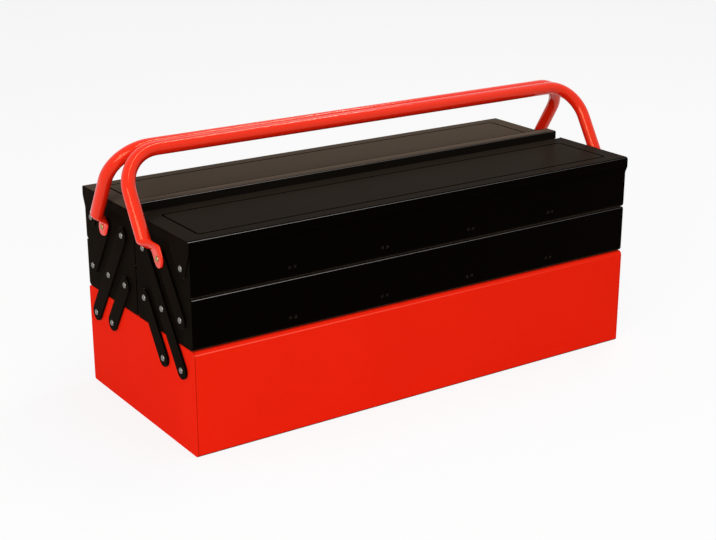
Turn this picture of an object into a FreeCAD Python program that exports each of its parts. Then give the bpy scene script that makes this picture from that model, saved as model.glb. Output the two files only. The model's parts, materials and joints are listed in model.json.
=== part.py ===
"""Cantilever tool box: a base, four trays on parallel arms, two lids and two bail handles.

Millimetres. X runs along the box, the front is towards -Y and Z is up. The origin is the
bottom centre of the base. Places across the box are given as insets from the outer face of
the front half; the rear half is the front half mirrored about the XZ plane.
"""
import FreeCAD, Part
import math
import os

from FreeCAD import Vector

# Overall sizes of the closed box
box_length = 550.0
box_width = 236.0
base_height = 109.0
lower_tray_height = 51.4
upper_tray_height = 49.4
lid_rise = 8.0
stack_gap = 0.6

# Sheet steel and its folds
sheet = 1.0
base_bend = 1.5
tray_bend = 3.0
rim_bend = 1.0
base_rim_bend = 3.5
base_rim_width = 9.0
tray_rim_width = 5.0
inner_rim_width = 8.0
tray_set_back = 1.5
centre_gap = 0.8

# Pivots of the parallel arms
base_pivot_inset = 22.0
base_pivot_drop = 24.5
inner_pivot_margin = 22.0
arm_lean_share = 0.4865
arm_width = 18.0
arm_thickness = 2.0

# Rivets
rivet_radius = 2.5
rivet_head_radius = 4.0
rivet_head_height = 1.6
rivet_crown_radius = 2.4
rivet_tail_height = 1.2
collar_radius = 5.5
collar_thickness = 0.8
arm_hole_clearance = 0.1
wall_hole_clearance = 0.05
side_clearance = 0.1

# Loose dividers
dividers_per_tray = 4
divider_drop = 9.0
divider_fold_width = 4.0
divider_foot_width = 6.0
divider_end_gap = 0.2

# Lids
lid_outer_inset = 0.2
lid_inner_shortfall = 5.0
lid_bend = 2.0
lid_flange_depth = 11.0
lid_end_gap = 0.3
lid_rest_gap = 0.3
ear_radius = 10.0
ear_shoulder = 24.0
groove_width = 2.2
groove_depth = 0.6
groove_outer_margin = 17.0
groove_inner_margin = 20.0
groove_end_margin = 19.5
groove_corner = 4.0

# Cover strip on the rear lid
strip_foot_start = 14.0
strip_foot_end = 21.0
strip_crown_start = 12.0
strip_overhang = 4.5
strip_rise = 8.5
strip_lip = 9.0
strip_end_inset = 7.0

# Bail handles of steel tube
handle_tube_radius = 7.0
handle_bend_radius = 40.0
grip_rise = 62.0
grip_gap = 0.6
handle_knee_run = 9.7
handle_knee_rise = 18.0
handle_stand_off = 8.0
lug_thickness = 3.0
lug_width = 19.0
lug_length = 9.5
lug_clearance = 0.3
lug_neck_width = 18.0
lug_neck_thickness = 6.0
lug_neck_share = 0.4

# One overrun for every cut
overrun = 5.0

# Levels and planes worked out from the sizes above
half_length = box_length / 2
half_width = box_width / 2
inside_length = half_length - sheet
lower_bottom = base_height + stack_gap
lower_top = lower_bottom + lower_tray_height
upper_bottom = lower_top + stack_gap
upper_top = upper_bottom + upper_tray_height
lid_top = upper_top + lid_rise
grip_height = lid_top + grip_rise
arm_rise = lower_bottom - base_height + lower_tray_height
tray_outer = tray_set_back
tray_inner = half_width - centre_gap
lid_inner = half_width - lid_inner_shortfall
pivot_span = half_width - base_pivot_inset - inner_pivot_margin
arm_lean = pivot_span * arm_lean_share
pivot_pitch = pivot_span - arm_lean

# Pivot rows as (inset, height) pairs, numbered from the centre of the box outwards
base_row = base_height - base_pivot_drop
base_outer_pivot = (base_pivot_inset, base_row)
base_inner_pivot = (base_pivot_inset + pivot_pitch, base_row)


def arm_end(pivot):
    """Upper end of an arm that starts at this pivot, with the box closed."""
    return (pivot[0] + arm_lean, pivot[1] + arm_rise)


def beside(pivot, pitches):
    """Pivot in the same row, this many pitches further in."""
    return (pivot[0] + pitches * pivot_pitch, pivot[1])


lower_middle_pivot = arm_end(base_outer_pivot)
lower_inner_pivot = arm_end(base_inner_pivot)
lower_outer_pivot = beside(lower_middle_pivot, -1)
upper_inner_pivot = arm_end(lower_middle_pivot)
handle_pivot = arm_end(lower_outer_pivot)
lid_pivot = beside(handle_pivot, -1)

# Layers outside the end panels, from the wall outwards
arm_inner_x = half_length + collar_thickness + side_clearance
arm_outer_x = arm_inner_x + arm_thickness
ear_inner_x = half_length + lid_end_gap
ear_outer_x = ear_inner_x + sheet
lug_inner_x = arm_outer_x + lug_clearance
lug_outer_x = lug_inner_x + lug_thickness
tube_x = half_length + handle_stand_off + handle_tube_radius


def place(x, inset, z):
    """Point of the front half from its inset and height."""
    return Vector(x, inset - half_width, z)


def moved_path(points, distance):
    """Corners of a path in the YZ plane, moved sideways to the left of its direction."""
    normals = []
    for start, end in zip(points, points[1:]):
        along = (end - start).normalize()
        normals.append(Vector(0, -along.z, along.y))
    moved = [points[0] + normals[0] * distance]
    for corner, before, after in zip(points[1:], normals, normals[1:]):
        moved.append(corner + (before + after) * (distance / (1 + before.dot(after))))
    moved.append(points[-1] + normals[-1] * distance)
    return moved


def bent_edges(points, radii):
    """Lines and tangent arcs along a path, with one radius for each corner between its ends."""
    edges = []
    start = points[0]
    for before, corner, after, radius in zip(points, points[1:], points[2:], radii):
        arriving = (corner - before).normalize()
        leaving = (after - corner).normalize()
        half_turn = arriving.getAngle(leaving) / 2
        reach = radius * math.tan(half_turn)
        arc_start = corner - arriving * reach
        arc_end = corner + leaving * reach
        inward = (leaving - arriving).normalize()
        middle = corner + inward * (radius / math.cos(half_turn) - radius)
        edges.append(Part.LineSegment(start, arc_start).toShape())
        edges.append(Part.Arc(arc_start, middle, arc_end).toShape())
        start = arc_end
    edges.append(Part.LineSegment(start, points[-1]).toShape())
    return edges


def folded_sheet(outline, bends, start_x, end_x):
    """Sheet folded along an outer path of (inset, height) corners, its wall on the left."""
    outer = [place(start_x, inset, z) for inset, z in outline]
    inner = moved_path(outer, sheet)
    outer_radii = []
    inner_radii = []
    for before, corner, after, bend in zip(outer, outer[1:], outer[2:], bends):
        turn = (corner - before).cross(after - corner).x
        outer_radii.append(bend + sheet if turn > 0 else bend)
        inner_radii.append(bend if turn > 0 else bend + sheet)
    edges = bent_edges(outer, outer_radii)
    edges.append(Part.LineSegment(outer[-1], inner[-1]).toShape())
    edges += bent_edges(inner, inner_radii)
    edges.append(Part.LineSegment(inner[0], outer[0]).toShape())
    face = Part.Face(Part.Wire(Part.__sortEdges__(edges)))
    return face.extrude(Vector(end_x - start_x, 0, 0))


def block(start_x, end_x, start_inset, end_inset, start_z, end_z):
    """Plain block between two insets of the front half."""
    corner = place(start_x, start_inset, start_z)
    return Part.makeBox(end_x - start_x, end_inset - start_inset, end_z - start_z, corner)


def pivot_hole(pivot, radius, start_x, end_x):
    """Round cutter along X through a pivot of the front half."""
    return Part.makeCylinder(
        radius,
        end_x - start_x + 2 * overrun,
        place(start_x - overrun, *pivot),
        Vector(1, 0, 0),
    )


def other_half(shape):
    """The same piece on the rear half."""
    return shape.mirror(Vector(0, 0, 0), Vector(0, 1, 0))


def other_end(shape):
    """The same piece on the opposite end."""
    return shape.mirror(Vector(0, 0, 0), Vector(1, 0, 0))


def end_panel(start_inset, end_inset, bottom, top, bend, top_bend, rim, rim_insets, pivots):
    """End panel of a tray or of the base at +X, with its inward rim and its rivet holes."""
    middle = (start_inset + end_inset) / 2
    outline = [
        place(inside_length, middle, top),
        place(inside_length, start_inset, top),
        place(inside_length, start_inset, bottom),
        place(inside_length, end_inset, bottom),
        place(inside_length, end_inset, top),
        place(inside_length, middle, top),
    ]
    top_radius = top_bend + sheet
    bottom_radius = bend + sheet
    edges = bent_edges(outline, [top_radius, bottom_radius, bottom_radius, top_radius])
    face = Part.Face(Part.Wire(Part.__sortEdges__(edges)))
    panel = face.extrude(Vector(sheet, 0, 0))
    rim_plate = block(inside_length - rim, inside_length, *rim_insets, top - sheet, top)
    panel = panel.fuse(rim_plate)
    for pivot in pivots:
        hole = pivot_hole(pivot, rivet_radius + wall_hole_clearance, inside_length, half_length)
        panel = panel.cut(hole)
    return panel.removeSplitter()


def tray_body(bottom, top):
    """Outer wall, floor and inner wall of a front tray, folded from one sheet."""
    outline = [
        (tray_outer + tray_rim_width, top),
        (tray_outer, top),
        (tray_outer, bottom),
        (tray_inner, bottom),
        (tray_inner, top),
        (tray_inner - inner_rim_width, top),
    ]
    bends = [rim_bend, tray_bend, tray_bend, rim_bend]
    return folded_sheet(outline, bends, -inside_length, inside_length)


def tray_end(bottom, top, pivots):
    """Right-hand end panel of a front tray."""
    rim_insets = (tray_outer + tray_rim_width, tray_inner - inner_rim_width)
    return end_panel(
        tray_outer, tray_inner, bottom, top, tray_bend, rim_bend, tray_rim_width, rim_insets,
        pivots,
    )


def tray_dividers(bottom, top):
    """Sheet dividers that part a front tray into equal compartments."""
    floor = bottom + sheet
    crest = top - divider_drop
    start = tray_outer + sheet + divider_end_gap
    end = tray_inner - sheet - divider_end_gap
    spacing = 2 * inside_length / (dividers_per_tray + 1)
    lift = tray_bend
    dividers = []
    for number in range(1, dividers_per_tray + 1):
        x = -inside_length + number * spacing - sheet / 2
        plate = block(x, x + sheet, start, end, floor + lift, crest)
        fold = block(x, x + divider_fold_width, start, end, crest - sheet, crest)
        web = block(x, x + sheet, start + lift, end - lift, floor, floor + lift)
        foot = block(x, x + divider_foot_width, start + lift, end - lift, floor, floor + sheet)
        dividers.append(plate.fuse([fold, web, foot]).removeSplitter())
    return Part.makeCompound(dividers)


def rivet(pivot, gap_outer_x, collar):
    """Pivot rivet at +X: tail inside the wall, shank, collar if any, and a crowned head."""
    head_x = gap_outer_x + side_clearance
    profile = [
        (inside_length - rivet_tail_height, 0),
        (inside_length - rivet_tail_height, rivet_head_radius),
        (inside_length, rivet_head_radius),
        (inside_length, rivet_radius),
    ]
    if collar:
        profile += [
            (half_length, rivet_radius),
            (half_length, collar_radius),
            (half_length + collar_thickness, collar_radius),
            (half_length + collar_thickness, rivet_radius),
        ]
    profile += [
        (head_x, rivet_radius),
        (head_x, rivet_head_radius),
        (head_x + rivet_head_height / 2, rivet_head_radius),
        (head_x + rivet_head_height, rivet_crown_radius),
        (head_x + rivet_head_height, 0),
        (inside_length - rivet_tail_height, 0),
    ]
    axis = place(0, *pivot)
    points = [axis + Vector(x, 0, radius) for x, radius in profile]
    face = Part.Face(Part.makePolygon(points))
    return face.revolve(axis, Vector(1, 0, 0), 360)


def flat_arm(lower, upper, pivots):
    """Flat bar with round ends at +X, drilled for its pivots."""
    start = place(arm_inner_x, *lower)
    end = place(arm_inner_x, *upper)
    along = (end - start).normalize()
    across = Vector(0, -along.z, along.y) * (arm_width / 2)
    tip = along * (arm_width / 2)
    edges = [
        Part.LineSegment(start + across, end + across).toShape(),
        Part.Arc(end + across, end + tip, end - across).toShape(),
        Part.LineSegment(end - across, start - across).toShape(),
        Part.Arc(start - across, start - tip, start + across).toShape(),
    ]
    bar = Part.Face(Part.Wire(edges)).extrude(Vector(arm_thickness, 0, 0))
    for pivot in pivots:
        hole = pivot_hole(pivot, rivet_radius + arm_hole_clearance, arm_inner_x, arm_outer_x)
        bar = bar.cut(hole)
    return bar


def lid_end():
    """End flange of a front lid at +X, with the ear that hangs on the lid pivot."""
    inset, height = lid_pivot
    foot = lid_top - lid_flange_depth
    x = ear_inner_x
    centre = place(x, inset, height)
    outer_side = centre - Vector(0, ear_radius, 0)
    lowest = centre - Vector(0, 0, ear_radius)
    inner_side = centre + Vector(0, ear_radius, 0)
    corners = [
        inner_side,
        place(x, inset + ear_shoulder, foot),
        place(x, lid_inner, foot),
        place(x, lid_inner, lid_top),
        place(x, lid_outer_inset, lid_top),
        place(x, lid_outer_inset, foot),
        outer_side,
    ]
    edges = [Part.Arc(outer_side, lowest, inner_side).toShape()]
    for start, end in zip(corners, corners[1:]):
        edges.append(Part.LineSegment(start, end).toShape())
    flange = Part.Face(Part.Wire(edges)).extrude(Vector(sheet, 0, 0))
    outer_corner = block(
        x - overrun, x + sheet + overrun,
        lid_outer_inset, lid_outer_inset + lid_bend + sheet,
        lid_top - lid_bend - sheet, lid_top,
    )
    rounding = Part.makeCylinder(
        lid_bend + sheet,
        sheet + 2 * overrun,
        place(x - overrun, lid_outer_inset + lid_bend + sheet, lid_top - lid_bend - sheet),
        Vector(1, 0, 0),
    )
    flange = flange.cut(outer_corner.cut(rounding))
    hole = pivot_hole(lid_pivot, rivet_radius + arm_hole_clearance, x, ear_outer_x)
    return flange.cut(hole)


def groove_ring(width, depth, top):
    """Rectangular ring with round corners that follows the pressed groove of a lid."""
    rings = []
    for edge in (-width / 2, width / 2):
        start = place(
            -ear_outer_x + groove_end_margin - edge, groove_outer_margin - edge, top - depth
        )
        length = 2 * (ear_outer_x - groove_end_margin + edge)
        breadth = lid_inner - groove_inner_margin - groove_outer_margin + 2 * edge
        solid = Part.makeBox(length, breadth, depth, start)
        uprights = [e for e in solid.Edges if abs(e.Vertexes[0].Z - e.Vertexes[1].Z) > depth / 2]
        rings.append(solid.makeFillet(groove_corner + edge, uprights))
    return rings[1].cut(rings[0])


def lid():
    """Front lid: folded top, ends with pivot ears and the pressed groove."""
    outline = [
        (lid_inner, upper_top + lid_rest_gap),
        (lid_inner, lid_top),
        (lid_outer_inset, lid_top),
        (lid_outer_inset, lid_top - lid_flange_depth),
    ]
    top = folded_sheet(outline, [rim_bend, lid_bend], -ear_outer_x, ear_outer_x)
    flange = lid_end()
    rib = groove_ring(groove_width + 2 * groove_depth, groove_depth, lid_top - sheet)
    shell = top.fuse([flange, other_end(flange), rib])
    return shell.cut(groove_ring(groove_width, groove_depth, lid_top)).removeSplitter()


def cover_strip():
    """Stepped strip along the rear lid that covers the gap between the lids."""
    crown = lid_top + strip_rise
    outline = [
        (half_width + strip_foot_end, lid_top + sheet),
        (half_width + strip_foot_start, lid_top + sheet),
        (half_width + strip_crown_start, crown),
        (half_width - strip_overhang, crown),
        (half_width - strip_overhang, crown - strip_lip),
    ]
    bends = [rim_bend, rim_bend, rim_bend]
    reach = ear_outer_x - strip_end_inset
    strip = folded_sheet(outline, bends, -reach, reach)
    under = crown - sheet
    cap_corners = [
        (half_width + strip_foot_start - sheet, lid_top),
        (half_width + strip_crown_start - sheet, under),
        (half_width - strip_overhang + sheet, under),
        (half_width - strip_overhang + sheet, lid_top),
    ]
    cap_points = [place(reach - sheet, inset, z) for inset, z in cap_corners]
    cap = Part.Face(Part.makePolygon(cap_points + [cap_points[0]])).extrude(Vector(sheet, 0, 0))
    return strip.fuse([cap, other_end(cap)]).removeSplitter()


def oval(centre, across, along, width, thickness):
    """Closed oval wire: its width lies across the lug and its thickness along X."""
    middle = Vector(0, 0, 0)
    if width > thickness:
        curve = Part.Ellipse(Vector(width / 2, 0, 0), Vector(0, thickness / 2, 0), middle)
    else:
        curve = Part.Circle(middle, Vector(0, 0, 1), width / 2)
    side = along.cross(across)
    matrix = FreeCAD.Matrix(
        across.x, side.x, along.x, centre.x,
        across.y, side.y, along.y, centre.y,
        across.z, side.z, along.z, centre.z,
        0, 0, 0, 1,
    )
    wire = Part.Wire(curve.toShape())
    wire.Placement = FreeCAD.Placement(matrix)
    return wire


def handle():
    """Front bail: bent tube whose two ends are flattened into drilled lugs."""
    grip_inset = half_width - grip_gap / 2 - handle_tube_radius
    inset, height = handle_pivot
    knee = place(tube_x, inset + handle_knee_run, height + handle_knee_rise)
    corner = place(tube_x, grip_inset, grip_height)
    path_points = [knee, corner]
    path_points += [Vector(-point.x, point.y, point.z) for point in (corner, knee)]
    path = Part.Wire(bent_edges(path_points, [handle_bend_radius, handle_bend_radius]))
    leg = (corner - knee).normalize()
    leg_across = Vector(1, 0, 0).cross(leg)
    tube_width = 2 * handle_tube_radius
    tube_end = oval(knee, leg_across, leg, tube_width, tube_width)
    tube = path.makePipeShell([tube_end], True, False)

    pivot = place(lug_inner_x + lug_thickness / 2, inset, height)
    lug_along = Vector(0, knee.y - pivot.y, knee.z - pivot.z).normalize()
    lug_across = Vector(1, 0, 0).cross(lug_along)
    lug_end = pivot + lug_along * lug_length
    neck_run = knee - lug_end
    neck_middle = lug_end + neck_run * lug_neck_share
    neck_middle_oval = oval(
        neck_middle, lug_across, neck_run.normalize(), lug_neck_width, lug_neck_thickness
    )
    lug_oval = oval(lug_end, lug_across, lug_along, lug_width, lug_thickness)
    neck = Part.makeLoft([tube_end, neck_middle_oval, lug_oval], True)
    base = place(lug_inner_x, inset, height)
    side = lug_across * (lug_width / 2)
    reach = lug_along * lug_length
    tip = lug_along * (lug_width / 2)
    edges = [
        Part.LineSegment(base + reach + side, base + side).toShape(),
        Part.Arc(base + side, base - tip, base - side).toShape(),
        Part.LineSegment(base - side, base + reach - side).toShape(),
        Part.LineSegment(base + reach - side, base + reach + side).toShape(),
    ]
    plate = Part.Face(Part.Wire(edges)).extrude(Vector(lug_thickness, 0, 0))
    hole = pivot_hole(handle_pivot, rivet_radius + arm_hole_clearance, lug_inner_x, lug_outer_x)
    lug = neck.fuse(plate).cut(hole)
    return tube.fuse([lug, other_end(lug)])


def base_body():
    """Front wall, floor and rear wall of the base, folded from one sheet."""
    outline = [
        (base_rim_width, base_height),
        (0, base_height),
        (0, 0),
        (box_width, 0),
        (box_width, base_height),
        (box_width - base_rim_width, base_height),
    ]
    bends = [base_rim_bend, base_bend, base_bend, base_rim_bend]
    return folded_sheet(outline, bends, -inside_length, inside_length)


def base_end():
    """Right-hand end panel of the base."""
    pivots = [base_outer_pivot, base_inner_pivot]
    pivots += [(box_width - inset, height) for inset, height in pivots]
    rim_insets = (base_rim_width, box_width - base_rim_width)
    return end_panel(
        0, box_width, 0, base_height, base_bend, base_rim_bend, base_rim_width, rim_insets,
        pivots,
    )


def rivet_set(front_rivets):
    """The given right-hand rivets and their copies on the left-hand end."""
    return Part.makeCompound(front_rivets + [other_end(one) for one in front_rivets])


def arm_rivets(pivots):
    """Rivets that carry an arm on a collar."""
    return [rivet(pivot, arm_outer_x, True) for pivot in pivots]


nodes = {}


def add_ends(name, right_piece):
    """Add a right-hand piece and its left-hand twin."""
    nodes[name + "_right"] = right_piece
    nodes[name + "_left"] = other_end(right_piece)


nodes["base_body"] = base_body()
add_ends("base_end", base_end())
front_base_rivets = arm_rivets([base_outer_pivot, base_inner_pivot])
all_base_rivets = front_base_rivets + [other_half(one) for one in front_base_rivets]
nodes["base_rivets"] = rivet_set(all_base_rivets)

lower_pivots = [lower_outer_pivot, lower_middle_pivot, lower_inner_pivot]
upper_pivots = [lid_pivot, handle_pivot, upper_inner_pivot]
long_pivots = [base_outer_pivot, lower_middle_pivot, upper_inner_pivot]
upper_rivets = arm_rivets([upper_inner_pivot])
upper_rivets.append(rivet(handle_pivot, lug_outer_x, True))
upper_rivets.append(rivet(lid_pivot, ear_outer_x, False))

front_pieces = {
    "lower_tray_body": tray_body(lower_bottom, lower_top),
    "lower_tray_dividers": tray_dividers(lower_bottom, lower_top),
    "lower_tray_rivets": rivet_set(arm_rivets(lower_pivots)),
    "upper_tray_body": tray_body(upper_bottom, upper_top),
    "upper_tray_dividers": tray_dividers(upper_bottom, upper_top),
    "upper_tray_rivets": rivet_set(upper_rivets),
    "lid": lid(),
    "handle": handle(),
}
front_end_pieces = {
    "lower_tray_end": tray_end(lower_bottom, lower_top, lower_pivots),
    "upper_tray_end": tray_end(upper_bottom, upper_top, upper_pivots),
    "long_arm": flat_arm(base_outer_pivot, upper_inner_pivot, long_pivots),
    "inner_arm": flat_arm(
        base_inner_pivot, lower_inner_pivot, [base_inner_pivot, lower_inner_pivot]
    ),
    "upper_arm": flat_arm(
        lower_outer_pivot, handle_pivot, [lower_outer_pivot, handle_pivot]
    ),
}
for name, piece in front_pieces.items():
    nodes["front_" + name] = piece
    nodes["rear_" + name] = other_half(piece)
for name, piece in front_end_pieces.items():
    add_ends("front_" + name, piece)
    add_ends("rear_" + name, other_half(piece))
nodes["rear_lid_cover_strip"] = cover_strip()

os.makedirs("parts", exist_ok=True)
for name, shape in nodes.items():
    shape.exportStep("parts/" + name + ".step")
    print(name, len(shape.Solids), round(shape.Volume), shape.isValid())
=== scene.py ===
"""Cantilever tool box: painted sheet, pivot rivets, tube handles and the studio around them."""
import json
import math
from typing import NamedTuple

import bmesh
import bpy
from bpy.props import FloatProperty, FloatVectorProperty, PointerProperty
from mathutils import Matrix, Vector

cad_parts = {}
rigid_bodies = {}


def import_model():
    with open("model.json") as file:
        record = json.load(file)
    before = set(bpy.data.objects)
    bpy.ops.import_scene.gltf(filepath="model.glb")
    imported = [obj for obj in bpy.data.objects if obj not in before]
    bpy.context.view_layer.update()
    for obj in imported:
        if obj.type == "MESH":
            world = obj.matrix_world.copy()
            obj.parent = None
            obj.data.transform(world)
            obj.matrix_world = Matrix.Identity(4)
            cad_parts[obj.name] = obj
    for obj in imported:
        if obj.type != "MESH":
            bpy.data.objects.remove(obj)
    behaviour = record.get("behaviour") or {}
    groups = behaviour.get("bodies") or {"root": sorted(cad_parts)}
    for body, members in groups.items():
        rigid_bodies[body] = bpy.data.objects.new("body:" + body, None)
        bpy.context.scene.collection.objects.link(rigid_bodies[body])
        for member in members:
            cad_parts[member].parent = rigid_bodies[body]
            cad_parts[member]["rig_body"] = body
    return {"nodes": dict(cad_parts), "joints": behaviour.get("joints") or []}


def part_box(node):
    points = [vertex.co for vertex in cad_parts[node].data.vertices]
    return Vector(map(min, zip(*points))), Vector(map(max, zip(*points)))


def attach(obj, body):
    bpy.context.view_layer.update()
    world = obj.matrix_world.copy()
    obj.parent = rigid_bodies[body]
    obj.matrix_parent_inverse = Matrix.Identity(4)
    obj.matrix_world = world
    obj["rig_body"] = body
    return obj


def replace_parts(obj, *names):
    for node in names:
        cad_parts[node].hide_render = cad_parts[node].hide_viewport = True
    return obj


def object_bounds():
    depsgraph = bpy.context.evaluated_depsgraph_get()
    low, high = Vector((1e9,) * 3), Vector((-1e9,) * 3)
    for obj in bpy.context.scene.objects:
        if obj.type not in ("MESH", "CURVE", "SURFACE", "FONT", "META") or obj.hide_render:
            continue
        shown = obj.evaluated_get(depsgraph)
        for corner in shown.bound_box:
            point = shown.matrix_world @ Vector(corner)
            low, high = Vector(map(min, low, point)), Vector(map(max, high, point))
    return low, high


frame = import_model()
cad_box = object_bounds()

bl_info = {
    "name": "Cantilever Tool Box",
    "version": (1, 0, 0),
    "blender": (4, 5, 0),
    "location": "View3D > Sidebar > Tool Box",
    "description": "Dresses the tool box in paint, rivets and tube handles, and sets its studio",
    "category": "Object",
}

# The two halves, and the direction along Y in which each looks out
OUTWARD = {"front": -1, "rear": 1}
LEVELS = ("lower", "upper")
ENDS = ("left", "right")
QUARTER_TURN = math.pi / 2

# Points this close are one point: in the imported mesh, in a new piece, and where it is mirrored
CAD_SEAM = 0.000002
NEW_SEAM = 0.000001
MIRROR_SEAM = 0.00001
# Faces flatter than the first are one face; edges sharper than the second are cut edges
FLAT_ANGLE = math.radians(0.4)
SHARP_ANGLE = math.radians(40)
RIVET_SMOOTH_ANGLE = math.radians(42)
# How strongly large flat faces hold the shading of the bends beside them
FLAT_FACE_WEIGHT = 60

# Upward part of the normal of the faces that catch the light along a bend
RIM_TILT = (0.15, 0.4)
TRAY_TILT = (0.55, 0.75)
LID_TILT = (0.65, 0.8)
STRIP_TILT = (0.65, 0.85)
# Upward part of the normal in the base's lower fold, which gets painted contact shadow, and in
# the fine line of the strip
FOOT_TILT = (-0.97, -0.3)
LINE_TILT = (0, 0.95)
# Least part of the normal that makes a face look up, outward on a bend or on the rim, and
# both outward and endward on a corner
UPWARD = 0.9
SIDEWAYS = 0.2
RIM_SIDEWAYS = 0.8
CORNER_TILT = 0.3
# Least upward part in the lids' groove; lengthwise part that only a line's ends go past
GROOVE_TILT = -0.5
LINE_END_TILT = 0.5
# A groove's faces lie between these depths under the top, and this far in from its edges
TOP_SKIN = 0.00003
GROOVE_DEPTH = 0.0008
GROOVE_MARGIN = 0.01

# Pairs of dots along a tray, in shares of its length from the middle
DOT_COLUMNS = (-0.3, -0.1, 0.1, 0.3)
# Outlines of dot, rivet tail and rivet head, as (share of the height, share of the radius)
DOT_OUTLINE = (
    (-0.4, 1), (0, 1), (0.3, 0.95), (0.58, 0.81), (0.8, 0.6), (0.94, 0.34), (1, 0.08),
)
TAIL_OUTLINE = ((0, 0.45), (0.12, 0.82), (0.45, 1), (1, 1))
HEAD_OUTLINE = (
    (0, 0.97), (0.12, 1), (0.35, 0.95), (0.62, 0.78), (0.84, 0.52), (0.96, 0.26), (1, 0.08),
)
# Rivets that reach as far out as the furthest one, to within this, carry the handles
REACH_SLACK = 0.0001
# Rivets whose lengths agree to this many digits of a metre are copies of one model
LENGTH_DIGITS = 5

# From the knee to the lug, in shares: way along, way sideways, widening and flattening
NECK = (
    (0.10, 0.02, 0.00, 0.02), (0.25, 0.12, 0.08, 0.10), (0.42, 0.34, 0.25, 0.32),
    (0.58, 0.62, 0.55, 0.62), (0.74, 0.86, 0.80, 0.84), (0.88, 0.97, 0.94, 0.96),
    (1.0, 1.0, 1.0, 1.0),
)
# How many times thicker than the lug the neck's oval is before it is pressed flat
NECK_SPARE = 1.5
# Round end of the lug, as (share of its half width beyond the pivot, share of its half width)
LUG_OUTLINE = ((0, 1), (0.35, 0.937), (0.62, 0.785), (0.82, 0.572), (0.94, 0.341), (1, 0.1))
# Height over the lowest point in which a CAD lug shows its thickness, and room for rounding
LUG_TIP = 0.002
LUG_SLACK = 0.0001

# Middle of the tool box, which the lamps face
LAMP_TARGET = (0, 0, 0.1)


class ToolBoxPaint(bpy.types.PropertyGroup):
    """Colours and surface of the painted sheet and the rivets."""

    red: FloatVectorProperty(
        name="Red", description="Gloss paint of the base and the handles",
        subtype="COLOR", size=3, min=0, max=1, default=(0.80, 0.0160, 0.0042),
    )
    # Painted highlight: a lighter red along the bend of the base's rim
    red_rim_highlight: FloatVectorProperty(
        name="Red rim", description="Red paint stretched thin on the bend of the base's rim",
        subtype="COLOR", size=3, min=0, max=1, default=(0.90, 0.080, 0.048),
    )
    # Darker red in the joint of the base and its end panels, and a painted contact shadow on the
    # base's lower fold
    red_seam_and_shadow: FloatVectorProperty(
        name="Red seam", description="Red paint in the joint of the base and its end panels",
        subtype="COLOR", size=3, min=0, max=1, default=(0.16, 0.004, 0.002),
    )
    black: FloatVectorProperty(
        name="Black", description="Satin paint of the trays, lids and arms",
        subtype="COLOR", size=3, min=0, max=1, default=(0.0012, 0.0008, 0.0005),
    )
    # Painted light: the lids' tops get a lighter black than the walls because they face the
    # bright sky
    black_lit_top: FloatVectorProperty(
        name="Black top", description="Satin paint of the lids' tops, dulled by use",
        subtype="COLOR", size=3, min=0, max=1, default=(0.0060, 0.0049, 0.0038),
    )
    # Painted highlight: light grey paint on the bends that face the lamps
    bend_highlight: FloatVectorProperty(
        name="Thin edge", description="Paint on sharp bends, where the sheet shines through",
        subtype="COLOR", size=3, min=0, max=1, default=(0.21, 0.205, 0.195),
    )
    zinc: FloatVectorProperty(
        name="Zinc", description="Plated rivets",
        subtype="COLOR", size=3, min=0, max=1, default=(0.19, 0.18, 0.165),
    )
    yellow_zinc: FloatVectorProperty(
        name="Yellow zinc", description="Passivated rivets that carry the handles",
        subtype="COLOR", size=3, min=0, max=1, default=(0.36, 0.24, 0.10),
    )
    peel: FloatProperty(
        name="Peel", description="Height of the fine ripple that sprayed paint dries with",
        default=0.000012, min=0, unit="LENGTH", precision=6,
    )
    sway: FloatProperty(
        name="Sway", description="Height of the slow waves in the pressed sheet",
        default=0.00012, min=0, unit="LENGTH", precision=6,
    )


class ToolBoxSheet(bpy.types.PropertyGroup):
    """Edges and pressed details of the sheet parts."""

    edge_round: FloatProperty(
        name="Edge rounding", description="Radius that the paint leaves on cut edges",
        default=0.0003, min=0, unit="LENGTH", precision=5,
    )
    bend_reach: FloatProperty(
        name="Bend reach", description="How far a long bend reaches in from its corner",
        default=0.0034, min=0, unit="LENGTH", precision=5,
    )
    line_depth: FloatProperty(
        name="Line depth", description="Depth of the fine line along the cover strip",
        default=0.0008, min=0, unit="LENGTH", precision=5,
    )
    line_inset: FloatProperty(
        name="Line inset", description="Distance of the fine line from the strip's inner edge",
        default=0.0150, min=0, unit="LENGTH", precision=5,
    )
    line_end_gap: FloatProperty(
        name="Line end gap", description="Plain length left at each end of the fine line",
        default=0.0015, min=0, unit="LENGTH", precision=5,
    )
    smooth_angle: FloatProperty(
        name="Smooth angle", description="Bends flatter than this are shaded smooth",
        default=math.radians(32), subtype="ANGLE",
    )
    dimple_radius: FloatProperty(
        name="Dimple radius", description="Radius of a pressed dot on a tray wall",
        default=0.0016, min=0, unit="LENGTH", precision=5,
    )
    dimple_height: FloatProperty(
        name="Dimple height", description="How far a pressed dot stands proud",
        default=0.0007, min=0, unit="LENGTH", precision=5,
    )
    dimple_gap: FloatProperty(
        name="Dimple gap", description="Distance between the two dots of a pair",
        default=0.006, min=0, unit="LENGTH", precision=5,
    )
    dimple_rise: FloatProperty(
        name="Dimple rise", description="Height of the dots above the tray's underside",
        default=0.012, min=0, unit="LENGTH", precision=5,
    )


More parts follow.
